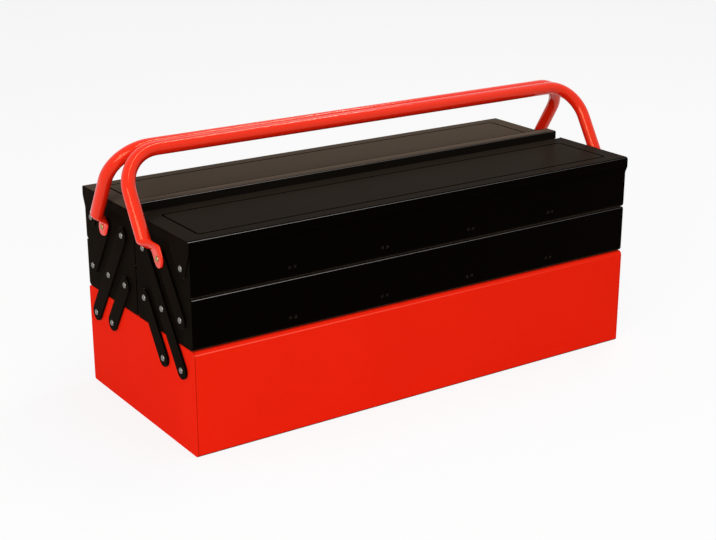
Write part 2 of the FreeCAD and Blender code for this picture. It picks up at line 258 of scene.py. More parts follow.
class ToolBoxRivet(bpy.types.PropertyGroup):
    """Pivot rivets, each with a formed tail, a domed head and where needed a collar."""

    head_radius: FloatProperty(
        name="Head radius", description="Radius of the domed head",
        default=0.0032, min=0, unit="LENGTH", precision=5,
    )
    head_height: FloatProperty(
        name="Head height", description="Height of the dome over what it holds",
        default=0.0016, min=0, unit="LENGTH", precision=5,
    )
    shank_radius: FloatProperty(
        name="Shank radius", description="Radius between the head and the tail",
        default=0.0025, min=0, unit="LENGTH", precision=5,
    )
    tail_radius: FloatProperty(
        name="Tail radius", description="Radius of the formed end inside the wall",
        default=0.0038, min=0, unit="LENGTH", precision=5,
    )
    tail_height: FloatProperty(
        name="Tail height", description="Height of the formed end inside the wall",
        default=0.0012, min=0, unit="LENGTH", precision=5,
    )
    collar_radius: FloatProperty(
        name="Collar radius", description="Radius of the ring between wall and arm",
        default=0.0054, min=0, unit="LENGTH", precision=5,
    )
    collar_height: FloatProperty(
        name="Collar height", description="Thickness of the ring between wall and arm",
        default=0.0008, min=0, unit="LENGTH", precision=5,
    )
    wall: FloatProperty(
        name="Wall", description="Thickness of the sheet that the rivet is set in",
        default=0.001, min=0, unit="LENGTH", precision=5,
    )


class ToolBoxHandle(bpy.types.PropertyGroup):
    """Bail handles of bent tube with flattened ends."""

    tube_radius: FloatProperty(
        name="Tube radius", description="Outer radius of the tube",
        default=0.007, min=0, unit="LENGTH", precision=5,
    )
    bend_radius: FloatProperty(
        name="Bend radius", description="Radius of the bends on the tube's centre line",
        default=0.040, min=0, unit="LENGTH", precision=5,
    )
    knee_run: FloatProperty(
        name="Knee run", description="Where the leg starts, in from the pivot",
        default=0.0097, min=0, unit="LENGTH", precision=5,
    )
    knee_rise: FloatProperty(
        name="Knee rise", description="Where the leg starts, above the pivot",
        default=0.018, min=0, unit="LENGTH", precision=5,
    )
    lug_thickness: FloatProperty(
        name="Lug thickness", description="Thickness of the flattened end",
        default=0.003, min=0, unit="LENGTH", precision=5,
    )
    lug_width: FloatProperty(
        name="Lug width", description="Width of the flattened end",
        default=0.0186, min=0, unit="LENGTH", precision=5,
    )
    lug_length: FloatProperty(
        name="Lug length", description="Flat run from the pivot towards the leg",
        default=0.0085, min=0, unit="LENGTH", precision=5,
    )
    hole_radius: FloatProperty(
        name="Hole radius", description="Radius of the pivot hole in the flattened end",
        default=0.0026, min=0, unit="LENGTH", precision=5,
    )


class ToolBoxStage(bpy.types.PropertyGroup):
    """Camera, lamps and floor."""

    lens: FloatProperty(
        name="Lens", description="Focal length on a sensor 36 mm wide",
        default=72.9, min=10, precision=2,
    )
    camera_place: FloatVectorProperty(
        name="Camera place", description="Where the camera stands",
        subtype="TRANSLATION", unit="LENGTH", size=3, default=(-0.8560, -1.2513, 0.6271),
    )
    camera_aim: FloatVectorProperty(
        name="Camera aim", description="Direction in which the camera looks",
        subtype="DIRECTION", size=3, default=(0.5303, 0.7829, -0.3254),
    )
    floor_tone: FloatVectorProperty(
        name="Floor", description="Colour of the floor",
        subtype="COLOR", size=3, min=0, max=1, default=(0.86, 0.86, 0.86),
    )
    floor_glow: FloatProperty(
        name="Floor glow", description="How far the floor is seen as plain white",
        default=0.84, min=0, max=1, subtype="FACTOR",
    )
    sky_level: FloatProperty(
        name="Sky level", description="Even light from all round",
        default=0.40, min=0,
    )
    strip_power: FloatProperty(
        name="Strip power", description="Light of the narrow lamp over the lids",
        default=28, min=0, unit="POWER",
    )
    softbox_power: FloatProperty(
        name="Softbox power", description="Light of the large lamp at the left end",
        default=56, min=0, unit="POWER",
    )


class ToolBoxSettings(bpy.types.PropertyGroup):
    """Everything a user would change on the tool box."""

    paint: PointerProperty(type=ToolBoxPaint)
    sheet: PointerProperty(type=ToolBoxSheet)
    rivet: PointerProperty(type=ToolBoxRivet)
    handle: PointerProperty(type=ToolBoxHandle)
    stage: PointerProperty(type=ToolBoxStage)


def settings():
    """All the settings of this scene."""
    return bpy.context.scene.tool_box


def node_at(tree, kind, x, y, **values):
    """Add a shader node at a place and set its properties or its input sockets."""
    node = tree.nodes.new(kind)
    node.location = (x, y)
    for name, value in values.items():
        socket = name.replace("_", " ")
        if socket in node.inputs:
            node.inputs[socket].default_value = value
        else:
            setattr(node, name, value)
    return node


def paint_skin():
    """Node group: sprayed paint with slow tone changes, a fine peel and the sheet's sway."""
    if "paint_skin" in bpy.data.node_groups:
        return bpy.data.node_groups["paint_skin"]
    group = bpy.data.node_groups.new("paint_skin", "ShaderNodeTree")
    for name, kind, default in (
        ("Colour", "NodeSocketColor", (0.5, 0.5, 0.5, 1)),
        ("Tone Spread", "NodeSocketFloat", 0.06),
        ("Gloss", "NodeSocketFloat", 0.3),
        ("Gloss Spread", "NodeSocketFloat", 0.06),
        ("Peel", "NodeSocketFloat", 0.00001),
        ("Sway", "NodeSocketFloat", 0.0001),
    ):
        socket = group.interface.new_socket(name, in_out="INPUT", socket_type=kind)
        socket.default_value = default
    for name, kind in (
        ("Colour", "NodeSocketColor"),
        ("Roughness", "NodeSocketFloat"),
        ("Height", "NodeSocketFloat"),
    ):
        group.interface.new_socket(name, in_out="OUTPUT", socket_type=kind)
    link = group.links.new
    inputs = node_at(group, "NodeGroupInput", -900, 0)
    outputs = node_at(group, "NodeGroupOutput", 900, 0)
    place = node_at(group, "ShaderNodeTexCoord", -900, -300)

    def noise(y, **values):
        """Noise that keeps its place on the piece."""
        texture = node_at(group, "ShaderNodeTexNoise", -650, y, **values)
        link(place.outputs["Object"], texture.inputs["Vector"])
        return texture.outputs["Fac"]

    def centred(value, y):
        """Noise moved down to vary round zero."""
        lowered = node_at(group, "ShaderNodeMath", -420, y, operation="SUBTRACT")
        lowered.inputs[1].default_value = 0.5
        link(value, lowered.inputs[0])
        return lowered.outputs[0]

    spread = node_at(group, "ShaderNodeMath", -220, 300, operation="MULTIPLY_ADD")
    spread.inputs[2].default_value = 1
    link(centred(noise(300, Scale=7, Detail=3, Roughness=0.55), 300), spread.inputs[0])
    link(inputs.outputs["Tone Spread"], spread.inputs[1])
    toned = node_at(group, "ShaderNodeVectorMath", 0, 300, operation="SCALE")
    link(inputs.outputs["Colour"], toned.inputs[0])
    link(spread.outputs[0], toned.inputs["Scale"])
    link(toned.outputs[0], outputs.inputs["Colour"])

    gloss = node_at(group, "ShaderNodeMath", -220, 0, operation="MULTIPLY_ADD", use_clamp=True)
    link(centred(noise(0, Scale=38, Detail=5, Roughness=0.6), 0), gloss.inputs[0])
    link(inputs.outputs["Gloss Spread"], gloss.inputs[1])
    link(inputs.outputs["Gloss"], gloss.inputs[2])
    link(gloss.outputs[0], outputs.inputs["Roughness"])

    ripple = node_at(group, "ShaderNodeMath", -220, -300, operation="MULTIPLY")
    link(noise(-300, Scale=420, Detail=2, Roughness=0.5), ripple.inputs[0])
    link(inputs.outputs["Peel"], ripple.inputs[1])
    height = node_at(group, "ShaderNodeMath", 0, -400, operation="MULTIPLY_ADD")
    link(noise(-600, Scale=11, Detail=1, Roughness=0.4), height.inputs[0])
    link(inputs.outputs["Sway"], height.inputs[1])
    link(ripple.outputs[0], height.inputs[2])
    link(height.outputs[0], outputs.inputs["Height"])
    return group


class Finish(NamedTuple):
    """One finish: what it gives the paint skin, and what it sets on the shader itself."""

    colour: str
    gloss: float
    gloss_spread: float
    tone_spread: float
    sways: bool
    shader: dict


SATIN_RED = {"Specular IOR Level": 0.002}
SATIN_BLACK = {
    "Specular IOR Level": 0.0008, "Sheen Roughness": 0.3, "Sheen Tint": (1, 0.72, 0.5, 1),
}
FINISHES = {
    "red_satin_paint": Finish("red", 0.30, 0.08, 0.10, True, SATIN_RED),
    # Painted highlight on the rim's bend
    "red_rim_highlight_paint": Finish("red_rim_highlight", 0.30, 0.08, 0.10, False, SATIN_RED),
    # Darker red for the joint, and painted contact shadow on the lower fold
    "red_seam_and_shadow_paint": Finish("red_seam_and_shadow", 0.30, 0.08, 0.10, False, SATIN_RED),
    "red_gloss_paint": Finish(
        "red", 0.09, 0.04, 0.06, False,
        {"Specular IOR Level": 0.5, "Specular Tint": (1, 0.55, 0.3, 1)},
    ),
    "black_satin_paint": Finish(
        "black", 0.30, 0.08, 0.50, True, {**SATIN_BLACK, "Sheen Weight": 0.18},
    ),
    # Lit copies of the black as painted light: lighter on the lids' tops, with a stronger sheen
    # on the brighter-lit rear lid
    "front_lid_lit_paint": Finish(
        "black_lit_top", 0.30, 0.08, 0.50, True, {**SATIN_BLACK, "Sheen Weight": 0.11},
    ),
    "rear_lid_lit_paint": Finish(
        "black_lit_top", 0.30, 0.08, 0.50, True, {**SATIN_BLACK, "Sheen Weight": 0.48},
    ),
    # Painted shade: black without sheen or shine, for grooves and pressed lines
    "black_shade_paint": Finish(
        "black", 0.60, 0.10, 0.50, False, {"Specular IOR Level": 0},
    ),
    # Painted highlight on the long bends of trays, lids and strip
    "bend_highlight_paint": Finish("bend_highlight", 0.30, 0.10, 0.50, False, {}),
    "yellow_zinc_plate": Finish("yellow_zinc", 0.34, 0.20, 0.50, False, {"Metallic": 1}),
    "bright_zinc_plate": Finish("zinc", 0.32, 0.20, 0.40, False, {"Metallic": 1}),
}
# Painted highlights that go over into the plain paint towards the right end
HIGHLIGHT_FADES = {"red_rim_highlight_paint": "red", "bend_highlight_paint": "black"}


def fade_to_right(tree, skin, highlit, unlit):
    """Let a painted highlight go from its own colour at the object's left end to the plain paint
    at its right end.
    """
    place = node_at(tree, "ShaderNodeTexCoord", -900, 0)
    split = node_at(tree, "ShaderNodeSeparateXYZ", -700, 0)
    share = node_at(tree, "ShaderNodeMapRange", -500, 0)
    share.inputs["From Min"].default_value = cad_box[0].x
    share.inputs["From Max"].default_value = cad_box[1].x
    blend = node_at(tree, "ShaderNodeMix", -250, 0, data_type="RGBA")
    blend.inputs["A"].default_value = (*highlit, 1)
    blend.inputs["B"].default_value = (*unlit, 1)
    tree.links.new(place.outputs["Object"], split.inputs[0])
    tree.links.new(split.outputs["X"], share.inputs["Value"])
    tree.links.new(share.outputs["Result"], blend.inputs["Factor"])
    tree.links.new(blend.outputs["Result"], skin.inputs["Colour"])


def finish_named(name):
    """The material of a finish, made the first time it is asked for."""
    if name in bpy.data.materials:
        return bpy.data.materials[name]
    finish = FINISHES[name]
    paint = settings().paint
    colour = getattr(paint, finish.colour)
    material = bpy.data.materials.new(name)
    material.use_nodes = True
    tree = material.node_tree
    tree.nodes.clear()
    output = node_at(tree, "ShaderNodeOutputMaterial", 900, 0)
    shader = node_at(tree, "ShaderNodeBsdfPrincipled", 550, 0)
    skin = node_at(tree, "ShaderNodeGroup", 0, 0)
    skin.node_tree = paint_skin()
    bump = node_at(tree, "ShaderNodeBump", 300, -300, Strength=1, Distance=1)
    for socket, value in (
        ("Colour", (*colour, 1)),
        ("Tone Spread", finish.tone_spread),
        ("Gloss", finish.gloss),
        ("Gloss Spread", finish.gloss_spread),
        ("Peel", paint.peel),
        ("Sway", paint.sway if finish.sways else 0),
    ):
        skin.inputs[socket].default_value = value
    for socket, value in finish.shader.items():
        shader.inputs[socket].default_value = value
    tree.links.new(skin.outputs["Colour"], shader.inputs["Base Color"])
    tree.links.new(skin.outputs["Roughness"], shader.inputs["Roughness"])
    tree.links.new(skin.outputs["Height"], bump.inputs["Height"])
    tree.links.new(bump.outputs["Normal"], shader.inputs["Normal"])
    tree.links.new(shader.outputs[0], output.inputs["Surface"])
    if name in HIGHLIGHT_FADES:
        fade_to_right(tree, skin, colour, getattr(paint, HIGHLIGHT_FADES[name]))
    return material


def select_only(piece):
    """Deselect all and make this piece the selected and active one."""
    if bpy.context.object and bpy.context.object.mode != "OBJECT":
        bpy.ops.object.mode_set(mode="OBJECT")
    bpy.ops.object.select_all(action="DESELECT")
    piece.select_set(True)
    bpy.context.view_layer.objects.active = piece


def apply_modifier(piece, kind, **values):
    """Add a modifier to a piece and apply it."""
    select_only(piece)
    modifier = piece.modifiers.new(kind.lower(), kind)
    for name, value in values.items():
        setattr(modifier, name, value)
    bpy.ops.object.modifier_apply(modifier=modifier.name)


def apply_place():
    """Put the place, turn and scale of the selected pieces into their meshes."""
    bpy.ops.object.transform_apply(location=True, rotation=True, scale=True)


def smooth_bends(piece):
    """Shade shallow bends smooth and keep the flat faces flat."""
    select_only(piece)
    bpy.ops.object.shade_smooth_by_angle(angle=settings().sheet.smooth_angle)
    apply_modifier(
        piece, "WEIGHTED_NORMAL", mode="FACE_AREA", weight=FLAT_FACE_WEIGHT, keep_sharp=True,
    )


def check_made(piece):
    """Stop when a piece came out empty."""
    if not piece.data.polygons:
        raise RuntimeError(piece.name + " has no faces")


def painted(node, finish):
    """Painted stand-in for a sheet node: merged, with round edges and smooth bends."""
    source = frame["nodes"][node]
    piece = bpy.data.objects.new(node + "_painted", source.data.copy())
    bpy.context.scene.collection.objects.link(piece)
    select_only(piece)
    bpy.ops.object.mode_set(mode="EDIT")
    bpy.ops.mesh.select_all(action="SELECT")
    bpy.ops.mesh.remove_doubles(threshold=CAD_SEAM)
    bpy.ops.mesh.dissolve_limited(angle_limit=FLAT_ANGLE)
    bpy.ops.object.mode_set(mode="OBJECT")
    apply_modifier(
        piece, "BEVEL", width=settings().sheet.edge_round, segments=2, limit_method="ANGLE",
        angle_limit=SHARP_ANGLE, use_clamp_overlap=True,
    )
    smooth_bends(piece)
    piece.data.materials.clear()
    piece.data.materials.append(finish_named(finish))
    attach(piece, source["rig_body"])
    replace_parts(piece, node)
    check_made(piece)
    return piece


def close_seams(piece):
    """Merge the seams of a piece and turn its faces outward."""
    select_only(piece)
    bpy.ops.object.mode_set(mode="EDIT")
    bpy.ops.mesh.select_all(action="SELECT")
    bpy.ops.mesh.remove_doubles(threshold=NEW_SEAM)
    bpy.ops.mesh.normals_make_consistent(inside=False)
    bpy.ops.object.mode_set(mode="OBJECT")


def repaint(piece, finish, picked):
    """Give the faces that a test of centre and normal picks a finish of their own."""
    piece.data.materials.append(finish_named(finish))
    index = len(piece.data.materials) - 1
    for face in piece.data.polygons:
        if picked(face.center, face.normal):
            face.material_index = index


def within(value, limits):
    """Whether a value lies between two limits."""
    return limits[0] < value < limits[1]


def highlight_long_bend(piece, node, outward, tilt):
    """Painted highlight along the bend between the top and the outward side of a piece."""
    low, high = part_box(node)
    side = high.y if outward > 0 else low.y
    reach = settings().sheet.bend_reach
    repaint(piece, "bend_highlight_paint", lambda centre, normal: (
        abs(centre.z - high.z) < reach and abs(centre.y - side) < reach
        and within(normal.z, tilt) and normal.y * outward > SIDEWAYS
    ))


def cut_away(piece, tool):
    """Cut the shape of a tool out of a piece, and put the tool away."""
    apply_modifier(piece, "BOOLEAN", operation="DIFFERENCE", object=tool, solver="EXACT")
    bpy.data.objects.remove(tool)


def press_line(piece, y, top, length):
    """Press a fine line along X into the top of a piece, with a square bar on its edge, and give
    the line's faces painted shade.
    """
    depth = settings().sheet.line_depth
    bpy.ops.object.select_all(action="DESELECT")
    bpy.ops.mesh.primitive_cylinder_add(
        vertices=4, radius=depth, depth=length,
        location=(0, y, top), rotation=(0, QUARTER_TURN, 0),
    )
    cut_away(piece, bpy.context.object)
    smooth_bends(piece)
    repaint(piece, "black_shade_paint", lambda centre, normal: (
        abs(centre.y - y) < depth and within(centre.z, (top - depth, top - TOP_SKIN))
        and abs(normal.x) < LINE_END_TILT and within(normal.z, LINE_TILT)
    ))
    check_made(piece)


def turned(name, stations, segments):
    """Closed round piece along X, pushed out ring by ring from (distance, radius) stations."""
    bpy.ops.object.select_all(action="DESELECT")
    reached, radius = stations[0]
    bpy.ops.mesh.primitive_circle_add(
        vertices=segments, radius=radius, fill_type="NGON",
        location=(reached, 0, 0), rotation=(0, QUARTER_TURN, 0),
    )
    piece = bpy.context.object
    piece.name = name
    apply_place()
    bpy.ops.object.mode_set(mode="EDIT")
    bpy.ops.mesh.select_all(action="SELECT")
    for distance, wide in stations[1:]:
        bpy.ops.mesh.extrude_region_move(
            TRANSFORM_OT_translate={"value": (distance - reached, 0, 0)}
        )
        bpy.ops.transform.resize(
            value=(1, wide / radius, wide / radius), center_override=(distance, 0, 0)
        )
        reached, radius = distance, wide
    bpy.ops.mesh.select_all(action="SELECT")
    bpy.ops.mesh.normals_make_consistent(inside=False)
    bpy.ops.object.mode_set(mode="OBJECT")
    return piece


def stations_along(outline, start, height, radius):
    """Stations of a round form from its outline in shares of a height and a radius."""
    return [(start + height * rise, radius * wide) for rise, wide in outline]


def joined_copies(name, models, placed):
    """Copy models to (model, place, turn about Z), each with its own mesh, and join them."""
    copies = []
    for model, place, turn in placed:
        one = model.copy()
        one.data = model.data.copy()
        bpy.context.scene.collection.objects.link(one)
        one.location = place
        one.rotation_euler = (0, 0, turn)
        copies.append(one)
    for model in models:
        bpy.data.objects.remove(model)
    select_only(copies[0])
    for one in copies:
        one.select_set(True)
    apply_place()
    bpy.ops.object.join()
    piece = bpy.context.object
    piece.name = name
    check_made(piece)
    return piece


class TOOLBOX_OT_base(bpy.types.Operator):
    """Paint the base: one folded sheet and two end panels"""

    bl_idname = "toolbox.base"
    bl_label = "Base"

    def execute(self, context):
        sheet = settings().sheet
        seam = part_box("base_body")[1].x
        for node in ("base_body", "base_end_left", "base_end_right"):
            piece = painted(node, "red_satin_paint")
            # Painted highlight along the bend of the rim
            repaint(piece, "red_rim_highlight_paint", lambda centre, normal: (
                within(normal.z, RIM_TILT) and abs(normal.y) > RIM_SIDEWAYS
            ))
            # Darker red in the joint to the end panels, and painted contact shadow on the lower
            # fold
            repaint(piece, "red_seam_and_shadow_paint", lambda centre, normal: (
                abs(abs(centre.x) - seam) < sheet.edge_round
                and abs(normal.x) > CORNER_TILT and abs(normal.y) > CORNER_TILT
            ) or (
                centre.z < sheet.bend_reach and within(normal.z, FOOT_TILT)
            ))
        return {"FINISHED"}


class TOOLBOX_OT_trays(bpy.types.Operator):
    """Paint the four trays with their end panels and dividers"""

    bl_idname = "toolbox.trays"
    bl_label = "Trays"

    def execute(self, context):
        for half, outward in OUTWARD.items():
            for level in LEVELS:
                tray = half + "_" + level + "_tray_"
                body = painted(tray + "body", "black_satin_paint")
                if level == "lower":
                    highlight_long_bend(body, tray + "body", outward, TRAY_TILT)
                for end in ENDS:
                    painted(tray + "end_" + end, "black_satin_paint")
                painted(tray + "dividers", "black_satin_paint")
        return {"FINISHED"}


class TOOLBOX_OT_dimples(bpy.types.Operator):
    """Press the pairs of small dots into the outer walls of the trays"""

    bl_idname = "toolbox.dimples"
    bl_label = "Dimples"

    def execute(self, context):
        sheet = settings().sheet
        stations = stations_along(DOT_OUTLINE, 0, sheet.dimple_height, sheet.dimple_radius)
        for half, outward in OUTWARD.items():
            for level in LEVELS:
                tray = half + "_" + level + "_tray_"
                low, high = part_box(tray + "body")
                wall = high.y if outward > 0 else low.y
                dot = turned(tray + "dot_model", stations, segments=20)
                placed = []
                for column in DOT_COLUMNS:
                    for side in (-1, 1):
                        x = column * (high.x - low.x) + side * sheet.dimple_gap / 2
                        place = (x, wall, low.z + sheet.dimple_rise)
                        placed.append((dot, place, outward * QUARTER_TURN))
                row = joined_copies(tray + "dimples", [dot], placed)
                bpy.ops.object.shade_smooth()
                # Painted light: the dots take the lit lid paint so that their rims show a
                # lighter ring
                row.data.materials.append(finish_named("rear_lid_lit_paint"))
                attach(row, frame["nodes"][tray + "body"]["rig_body"])
        return {"FINISHED"}


class TOOLBOX_OT_lids(bpy.types.Operator):
    """Paint the two lids and the strip that covers the gap between them"""

    bl_idname = "toolbox.lids"
    bl_label = "Lids"

    def execute(self, context):
        sheet = settings().sheet
        for half, outward in OUTWARD.items():
            lid = painted(half + "_lid", "black_satin_paint")
            low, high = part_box(half + "_lid")
            # Painted light: the faces that look up take the lighter lit paint
            repaint(lid, half + "_lid_lit_paint", lambda centre, normal: normal.z > UPWARD)
            highlight_long_bend(lid, half + "_lid", outward, LID_TILT)
            # Painted shade in the lids' pressed groove
            repaint(lid, "black_shade_paint", lambda centre, normal: (
                within(centre.z, (high.z - GROOVE_DEPTH, high.z - TOP_SKIN))
                and normal.z > GROOVE_TILT
                and abs(centre.x) < high.x - GROOVE_MARGIN
                and within(centre.y, (low.y + GROOVE_MARGIN, high.y - GROOVE_MARGIN))
            ))
        # Painted light: the cover strip takes the lighter lit lid paint all over
        strip = painted("rear_lid_cover_strip", "rear_lid_lit_paint")
        low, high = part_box("rear_lid_cover_strip")
        length = 2 * (high.x - sheet.line_end_gap)
        press_line(strip, low.y + sheet.line_inset, high.z, length)
        highlight_long_bend(strip, "rear_lid_cover_strip", OUTWARD["front"], STRIP_TILT)
        return {"FINISHED"}


class TOOLBOX_OT_arms(bpy.types.Operator):
    """Paint the twelve flat arms"""

    bl_idname = "toolbox.arms"
    bl_label = "Arms"

    def execute(self, context):
        for half in OUTWARD:
            for arm in ("long_arm", "inner_arm", "upper_arm"):
                for end in ENDS:
                    node = half + "_" + arm + "_" + end
                    painted(node, "black_satin_paint")
        return {"FINISHED"}


def loose_parts(node):
    """Lowest and highest corner of each loose part of a CAD node, in order of place."""
    probe = bmesh.new()
    probe.from_mesh(frame["nodes"][node].data)
    bmesh.ops.remove_doubles(probe, verts=probe.verts, dist=CAD_SEAM)
    waiting = set(probe.verts)
    parts = []
    while waiting:
        reached = [waiting.pop()]
        part = []
        while reached:
            vert = reached.pop()
            part.append(vert.co.copy())
            for edge in vert.link_edges:
                other = edge.other_vert(vert)
                if other in waiting:
                    waiting.remove(other)
                    reached.append(other)
        parts.append([Vector(pick(point[axis] for point in part) for axis in range(3))
                      for pick in (min, max)])
    probe.free()
    return sorted(parts, key=lambda corners: tuple(corners[0]))


def rivet_stations(length, has_collar):
    """Outline of a rivet from the middle of its tail to the top of its dome."""
    shape = settings().rivet
    shank, collar = shape.shank_radius, shape.collar_radius
    stations = stations_along(TAIL_OUTLINE, 0, shape.tail_height, shape.tail_radius)
    stations += [(shape.tail_height, shank)]
    if has_collar:
        wall_outer = shape.tail_height + shape.wall
        arm_side = wall_outer + shape.collar_height
        stations += [(wall_outer, shank), (wall_outer, collar), (arm_side, collar),
                     (arm_side, shank)]
    under = length - shape.head_height
    stations += [(under, shank)]
    return stations + stations_along(HEAD_OUTLINE, under, shape.head_height, shape.head_radius)


def rivet_set(name, places, finish, body):
    """One rivet modelled for each length in places, copied to every place and joined."""
    shape = settings().rivet
    models = {}
    placed = []
    for low, high in places:
        is_wide = high.y - low.y > shape.tail_radius + shape.collar_radius
        kind = (round(high.x - low.x, LENGTH_DIGITS), is_wide)
        if kind not in models:
            models[kind] = turned(name + "_model", rivet_stations(*kind), segments=28)
        outward = low.x > 0
        tail = Vector((low.x if outward else high.x, *((low + high) / 2).yz))
        placed.append((models[kind], tail, 0 if outward else math.pi))
    piece = joined_copies(name, models.values(), placed)
    bpy.ops.object.shade_smooth_by_angle(angle=RIVET_SMOOTH_ANGLE)
    piece.data.materials.clear()
    piece.data.materials.append(finish_named(finish))
    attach(piece, body)
    return piece


class TOOLBOX_OT_rivets(bpy.types.Operator):
    """Set the pivot rivets: one model for each length, copied to every pivot"""

    bl_idname = "toolbox.rivets"
    bl_label = "Rivets"

    def execute(self, context):
        nodes = ["base_rivets"]
        nodes += [half + "_" + level + "_tray_rivets" for half in OUTWARD for level in LEVELS]
        for node in nodes:
            body = frame["nodes"][node]["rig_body"]
            places = loose_parts(node)
            if "upper" in node:
                reach = max(high.x for low, high in places)
                longest = [place for place in places
                           if max(place[1].x, -place[0].x) > reach - REACH_SLACK]
                places = [place for place in places if place not in longest]
                name = node.replace("tray", "handle")
                rivet_set(name, longest, "yellow_zinc_plate", body)
            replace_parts(rivet_set(node + "_domed", places, "bright_zinc_plate", body), node)
        return {"FINISHED"}


def joint_place(name):
    """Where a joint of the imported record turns."""
    for joint in frame["joints"]:
        if joint["name"] == name:
            return Vector(joint["pos_m"])
    raise RuntimeError("no joint is named " + name)


def lug_middle(node):
    """Middle of the flattened end of a CAD handle along X, found below its pivot."""
    verts = frame["nodes"][node].data.vertices
    floor = min(vert.co.z for vert in verts)
    ends = [abs(vert.co.x) for vert in verts if vert.co.z < floor + LUG_TIP]
    return (min(ends) + max(ends)) / 2


def draw_out(step):
    """Push the selected ring on by a step, in two equal parts."""
    for part in range(2):
        bpy.ops.mesh.extrude_region_move(TRANSFORM_OT_translate={"value": step / 2})


def push_ring(step, centre, thick, wide):
    """Push the selected ring on by a step, then scale it about its centre."""
    bpy.ops.mesh.extrude_region_move(TRANSFORM_OT_translate={"value": step})
    bpy.ops.transform.resize(value=(thick, wide, wide), center_override=centre)


def press_flat(piece, middle, reach, top):
    """Press what stands out from the middle of a tube's end flat, on both its sides."""
    bpy.ops.mesh.select_mode(type="VERT")
    for side in (-1, 1):
        cheek = middle + side * reach
        bpy.ops.mesh.select_all(action="DESELECT")
        bpy.ops.object.mode_set(mode="OBJECT")
        for vert in piece.data.vertices:
            vert.select = vert.co.z < top and (vert.co.x - cheek) * side > 0
        bpy.ops.object.mode_set(mode="EDIT")
        bpy.ops.transform.resize(value=(0, 1, 1), center_override=(cheek, 0, 0))
    bpy.ops.object.mode_set(mode="OBJECT")


def flatten_end(piece, knee, pivot, lug_x):
    """Draw the selected ring of the tube on from the knee into a flat lug round the pivot."""
    shape = settings().handle
    radius = shape.tube_radius
    flat = shape.lug_thickness / 2
    wide = shape.lug_width / 2
    towards = Vector((0, knee.y - pivot.y, knee.z - pivot.z)).normalized()
    lug_end = Vector((lug_x, pivot.y, pivot.z)) + towards * shape.lug_length
    here, across, through = knee, radius, radius
    for run, side, widen, thin in NECK:
        there = Vector((
            knee.x + (lug_end.x - knee.x) * side,
            knee.y + (lug_end.y - knee.y) * run,
            knee.z + (lug_end.z - knee.z) * run,
        ))
        new_across = radius + (wide - radius) * widen
        new_through = radius + (flat * NECK_SPARE - radius) * thin
        push_ring(there - here, there, new_through / through, new_across / across)
        here, across, through = there, new_across, new_through
    for run, share in LUG_OUTLINE:
        there = lug_end - towards * (shape.lug_length + wide * run)
        push_ring(there - here, there, 1, wide * share / across)
        here, across = there, wide * share
    bpy.ops.mesh.edge_face_add()
    press_flat(piece, lug_x, flat, lug_end.z + LUG_SLACK)


def drill(piece, place, radius, depth):
    """Drill a hole along X through a piece."""
    bpy.ops.object.select_all(action="DESELECT")
    bpy.ops.mesh.primitive_cylinder_add(
        vertices=32, radius=radius, depth=depth,
        location=(0, place.y, place.z), rotation=(0, QUARTER_TURN, 0),
    )
    cut_away(piece, bpy.context.object)


def bent_handle(half):
    """Bail handle: half of it is drawn out of one ring of the tube, then mirrored."""
    shape = settings().handle
    node = half + "_handle"
    low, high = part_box(node)
    radius = shape.tube_radius
    inward = -OUTWARD[half]
    pivot = joint_place(node + "_swing")
    inner_side = high.y if inward > 0 else low.y
    grip = Vector((0, inner_side - inward * radius, high.z - radius))
    knee = Vector((
        high.x - radius, pivot.y + inward * shape.knee_run, pivot.z + shape.knee_rise
    ))
    down = Vector((0, knee.y - grip.y, knee.z - grip.z)).normalized()
    bend_start = Vector((knee.x - shape.bend_radius, grip.y, grip.z))
    bend_centre = bend_start + down * shape.bend_radius
    bend_end = bend_centre + Vector((shape.bend_radius, 0, 0))

    bpy.ops.object.select_all(action="DESELECT")
    bpy.ops.mesh.primitive_circle_add(
        vertices=36, radius=radius, fill_type="NOTHING",
        location=grip, rotation=(0, QUARTER_TURN, 0),
    )
    piece = bpy.context.object
    piece.name = half + "_bent_handle"
    apply_place()
    bpy.ops.object.mode_set(mode="EDIT")
    bpy.ops.mesh.select_mode(type="EDGE")
    bpy.ops.mesh.select_all(action="SELECT")
    draw_out(bend_start - grip)
    bpy.ops.mesh.spin(
        steps=18, angle=QUARTER_TURN, center=bend_centre, axis=down.cross(Vector((1, 0, 0))),
    )
    draw_out(knee - bend_end)
    flatten_end(piece, knee, pivot, lug_middle(node))
    apply_modifier(piece, "MIRROR", use_axis=(True, False, False), merge_threshold=MIRROR_SEAM)
    close_seams(piece)
    drill(piece, pivot, shape.hole_radius, 3 * high.x)
    close_seams(piece)
    bpy.ops.object.shade_smooth_by_angle(angle=SHARP_ANGLE)
    piece.data.materials.append(finish_named("red_gloss_paint"))
    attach(piece, frame["nodes"][node]["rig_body"])
    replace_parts(piece, node)
    check_made(piece)


class TOOLBOX_OT_handles(bpy.types.Operator):
    """Bend the two bail handles and flatten and drill their ends"""

    bl_idname = "toolbox.handles"
    bl_label = "Handles"

    def execute(self, context):
        for half in OUTWARD:
            bent_handle(half)
        return {"FINISHED"}


def softbox(name, place, width, depth, power):
    """Rectangular softbox that faces the middle of the tool box."""
    data = bpy.data.lights.new(name, "AREA")
    data.shape = "RECTANGLE"
    data.size = width
    data.size_y = depth
    data.energy = power
    light = bpy.data.objects.new(name, data)
    bpy.context.scene.collection.objects.link(light)
    light.location = place
    view = Vector(LAMP_TARGET) - Vector(place)
    light.rotation_euler = view.to_track_quat("-Z", "Y").to_euler()


